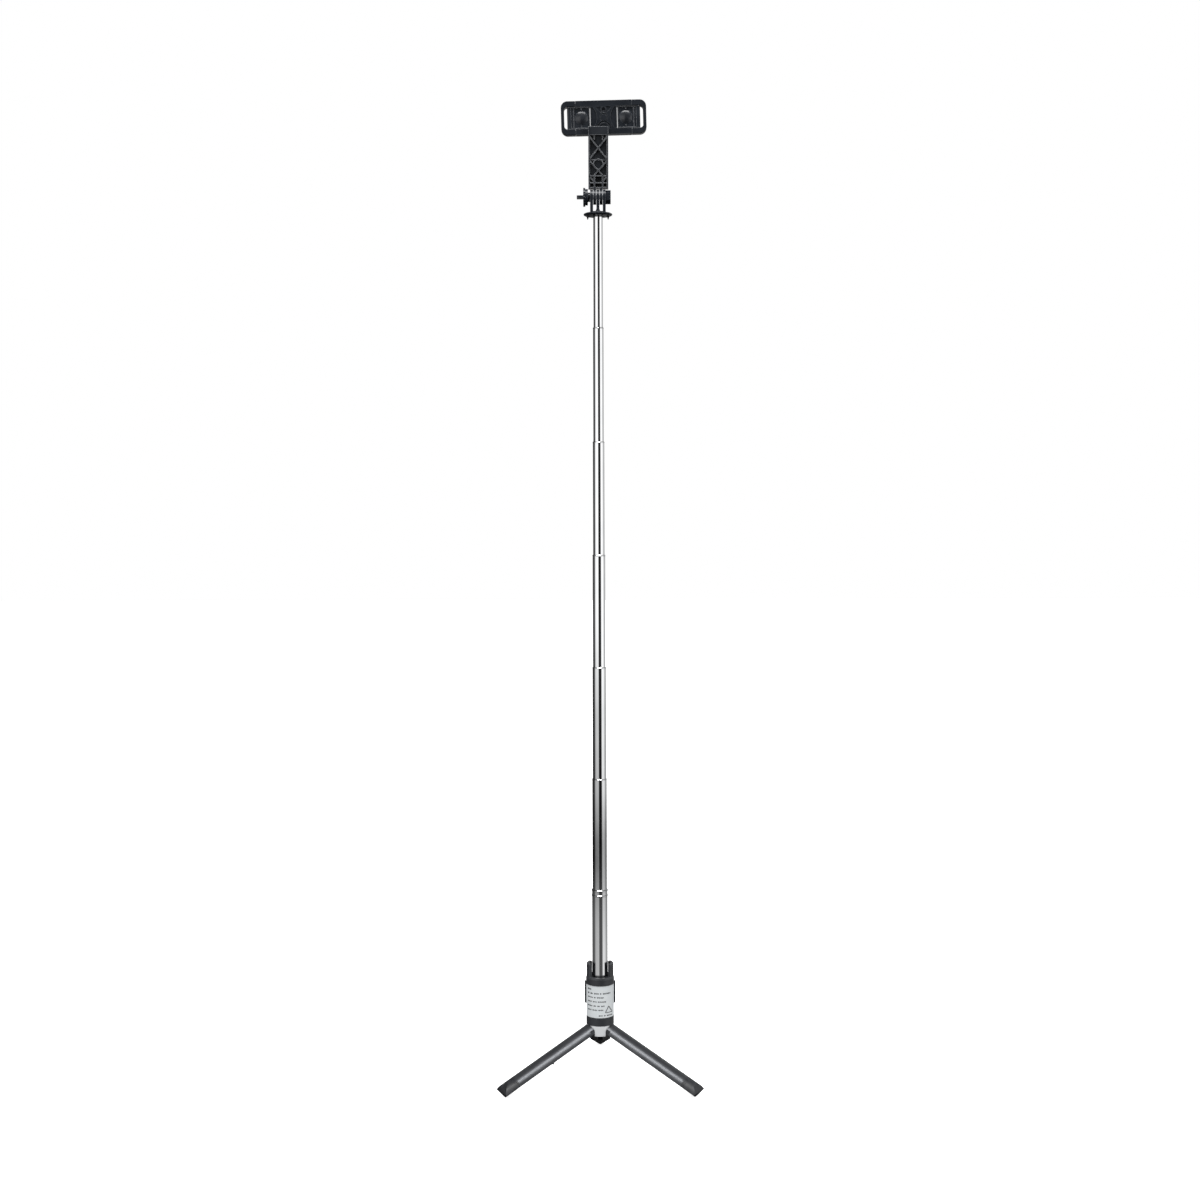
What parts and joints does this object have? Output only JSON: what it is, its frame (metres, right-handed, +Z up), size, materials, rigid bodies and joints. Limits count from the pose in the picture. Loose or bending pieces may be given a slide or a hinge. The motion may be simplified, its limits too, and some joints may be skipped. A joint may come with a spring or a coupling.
{
  "type": "selfie stick",
  "caption": "Telescopic chrome pole on a fold-out three-leg stand with a shutter remote, tilting head, ribbed arm and spring clamp phone holder.",
  "frame": {"origin": "on the pole's axis, level with the three soles, legs open", "axes": "+Z up along the pole, -Y towards the arm's ribbed face, +X towards the nut side of the tilt hinge"},
  "size_m": [0.2078, 0.1801, 0.9917],
  "materials": {
    "black_plastic": "fine-grained satin black ABS",
    "leg_gunmetal": "satin gunmetal lacquer",
    "chrome_tube": "bright chromed steel tube",
    "hub_silver": "silver-grey lacquered plastic",
    "label_white": "satin printed film",
    "rubber_black": "dark soft rubber",
    "steel": "zinc-plated steel",
    "circuit_board": "green solder mask",
    "bushing_plastic": "natural acetal",
    "remote_plastic": "satin black plastic"
  },
  "bodies": {
    "handle": {"hub": "hub_silver", "hub_screws": "steel", "leg_pins": "steel", "lower_collar": "black_plastic", "grip_tube": "hub_silver", "label": "label_white", "upper_collar": "black_plastic", "remote_cradle": "black_plastic", "tube_1": "chrome_tube"},
    "leg_1": {"leg_1": "leg_gunmetal", "leg_foot_1": "rubber_black"},
    "leg_2": {"leg_2": "leg_gunmetal", "leg_foot_2": "rubber_black"},
    "leg_3": {"leg_3": "leg_gunmetal", "leg_foot_3": "rubber_black"},
    "remote": {"remote_back": "remote_plastic", "remote_front": "remote_plastic", "remote_board": "circuit_board", "remote_cell": "steel"},
    "shutter_button": {"remote_button": "hub_silver"},
    "head": {"head_yoke": "black_plastic", "hex_nut": "steel"},
    "knob": {"hinge_knob": "black_plastic", "hinge_screw": "steel"},
    "arm": {"holder_arm": "black_plastic"},
    "holder": {"holder_back": "black_plastic", "holder_front": "black_plastic", "holder_screw": "steel", "phone_pad": "rubber_black", "clamp_spring": "steel", "swivel_pin": "steel"},
    "tube_2": {"tube_2": "chrome_tube", "bushing_2": "bushing_plastic"},
    "tube_3": {"tube_3": "chrome_tube", "bushing_3": "bushing_plastic"},
    "tube_4": {"tube_4": "chrome_tube", "bushing_4": "bushing_plastic"},
    "tube_5": {"tube_5": "chrome_tube", "bushing_5": "bushing_plastic"},
    "tube_6": {"tube_6": "chrome_tube", "bushing_6": "bushing_plastic"},
    "tube_7": {"tube_7": "chrome_tube", "bushing_7": "bushing_plastic"},
    "bail_left": {"bail_left": "black_plastic", "claw_pin_left": "steel"},
    "claw_left": {"claw_left": "black_plastic", "claw_pad_left": "rubber_black"},
    "bail_right": {"bail_right": "black_plastic", "claw_pin_right": "steel"},
    "claw_right": {"claw_right": "black_plastic", "claw_pad_right": "rubber_black"}
  },
  "joints": [
    {"name": "leg_1_fold", "type": "hinge", "parent": "handle", "child": "leg_1", "pos_m": [-0.00693, -0.004, 0.05485], "axis": [0.5, -0.866, 0], "range_deg": [0, 65]},
    {"name": "leg_2_fold", "type": "hinge", "parent": "handle", "child": "leg_2", "pos_m": [0.00693, -0.004, 0.05485], "axis": [0.5, 0.866, 0], "range_deg": [0, 65]},
    {"name": "leg_3_fold", "type": "hinge", "parent": "handle", "child": "leg_3", "pos_m": [0, 0.008, 0.05485], "axis": [-1, 0, 0], "range_deg": [0, 65]},
    {"name": "tube_2_slide", "type": "slide", "parent": "handle", "child": "tube_2", "axis": [0, 0, -1], "range_m": [0, 0.1117]},
    {"name": "tube_3_slide", "type": "slide", "parent": "tube_2", "child": "tube_3", "axis": [0, 0, -1], "range_m": [0, 0.1117]},
    {"name": "tube_4_slide", "type": "slide", "parent": "tube_3", "child": "tube_4", "axis": [0, 0, -1], "range_m": [0, 0.1117]},
    {"name": "tube_5_slide", "type": "slide", "parent": "tube_4", "child": "tube_5", "axis": [0, 0, -1], "range_m": [0, 0.1117]},
    {"name": "tube_6_slide", "type": "slide", "parent": "tube_5", "child": "tube_6", "axis": [0, 0, -1], "range_m": [0, 0.1117]},
    {"name": "tube_7_slide", "type": "slide", "parent": "tube_6", "child": "tube_7", "axis": [0, 0, -1], "range_m": [0, 0.1064]},
    {"name": "head_pan", "type": "hinge", "parent": "tube_7", "child": "head", "pos_m": [0, 0, 0.8775], "axis": [0, 0, 1], "continuous": true},
    {"name": "head_tilt", "type": "hinge", "parent": "head", "child": "arm", "pos_m": [0, 0, 0.8947], "axis": [1, 0, 0], "range_deg": [-90, 90]},
    {"name": "knob_spin", "type": "hinge", "parent": "head", "child": "knob", "pos_m": [0, 0, 0.8947], "axis": [1, 0, 0], "continuous": true},
    {"name": "holder_swivel", "type": "hinge", "parent": "arm", "child": "holder", "pos_m": [0.0005, 0.0048, 0.9608], "axis": [0, -1, 0], "range_deg": [-90, 90]},
    {"name": "bail_left_slide", "type": "slide", "parent": "holder", "child": "bail_left", "axis": [-0.9997, 0, -0.0244], "range_m": [0, 0.014], "stiffness_N_per_m": 250, "springref_m": -0.01, "deforming": ["clamp_spring"]},
    {"name": "bail_right_slide", "type": "slide", "parent": "holder", "child": "bail_right", "axis": [0.9997, 0, 0.0244], "range_m": [0, 0.014], "stiffness_N_per_m": 250, "springref_m": -0.01, "deforming": ["clamp_spring"]},
    {"name": "claw_left_fold", "type": "hinge", "parent": "bail_left", "child": "claw_left", "pos_m": [-0.02892, 0.0072, 0.97338], "axis": [-0.0244, 0, 0.9997], "range_deg": [0, 90]},
    {"name": "claw_right_fold", "type": "hinge", "parent": "bail_right", "child": "claw_right", "pos_m": [0.04086, 0.0072, 0.97509], "axis": [0.0244, 0, -0.9997], "range_deg": [0, 90]},
    {"name": "remote_release", "type": "slide", "parent": "handle", "child": "remote", "axis": [0, 1, 0], "range_m": [0, 0.02]},
    {"name": "shutter_button_press", "type": "slide", "parent": "remote", "child": "shutter_button", "axis": [0, -1, 0], "range_m": [0, 0.0005], "stiffness_N_per_m": 600}
  ]
}
